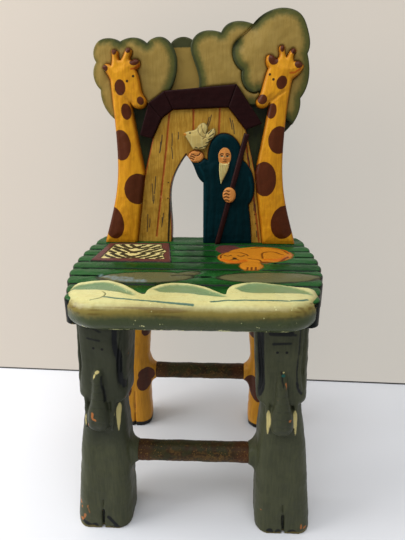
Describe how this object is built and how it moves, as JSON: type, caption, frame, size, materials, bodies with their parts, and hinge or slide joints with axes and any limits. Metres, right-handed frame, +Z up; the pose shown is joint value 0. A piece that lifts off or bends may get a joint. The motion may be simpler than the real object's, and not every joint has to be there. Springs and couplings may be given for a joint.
{
  "type": "carved child's chair",
  "caption": "Carved and painted wooden child's chair with a shaped picture back, grooved plank seat, animal legs and round stretchers",
  "frame": {"origin": "centre of the chair's box on the floor", "axes": "+X to the right as seen from the front, +Y from the front to the back, +Z up"},
  "size_m": [0.308, 0.275, 0.607],
  "materials": {
    "giraffe_paint": "satin",
    "tree_paint": "satin",
    "house_paint": "satin",
    "roof_paint": "satin",
    "robe_paint": "satin",
    "skin_paint": "satin",
    "cream_paint": "satin",
    "staff_paint": "satin",
    "backer_paint": "satin",
    "deck_paint": "satin",
    "wave_paint": "satin",
    "elephant_paint": "satin",
    "stretcher_wood": "satin",
    "bare_wood": "matte"
  },
  "bodies": {
    "root": {"front_leg_left": "elephant_paint", "front_leg_right": "elephant_paint", "rear_leg_left": "giraffe_paint", "rear_leg_right": "giraffe_paint", "front_stretcher": "stretcher_wood", "rear_stretcher": "stretcher_wood", "leg_wedges": "bare_wood", "back_dowels": "bare_wood", "giraffe_dowels": "bare_wood", "seat_deck": "deck_paint", "wave_rail": "wave_paint", "backer_board": "backer_paint", "tree_left": "tree_paint", "tree_right": "tree_paint", "tree_right_lobe": "tree_paint", "roof_left_eave": "roof_paint", "roof_left_slope": "roof_paint", "roof_ridge": "roof_paint", "roof_right_slope": "roof_paint", "house_wall": "house_paint", "giraffe_left": "giraffe_paint", "giraffe_right": "giraffe_paint", "robe": "robe_paint", "face": "skin_paint", "raised_hand": "skin_paint", "staff_hand": "skin_paint", "beard": "cream_paint", "dove": "cream_paint", "staff": "staff_paint"}
  },
  "joints": []
}
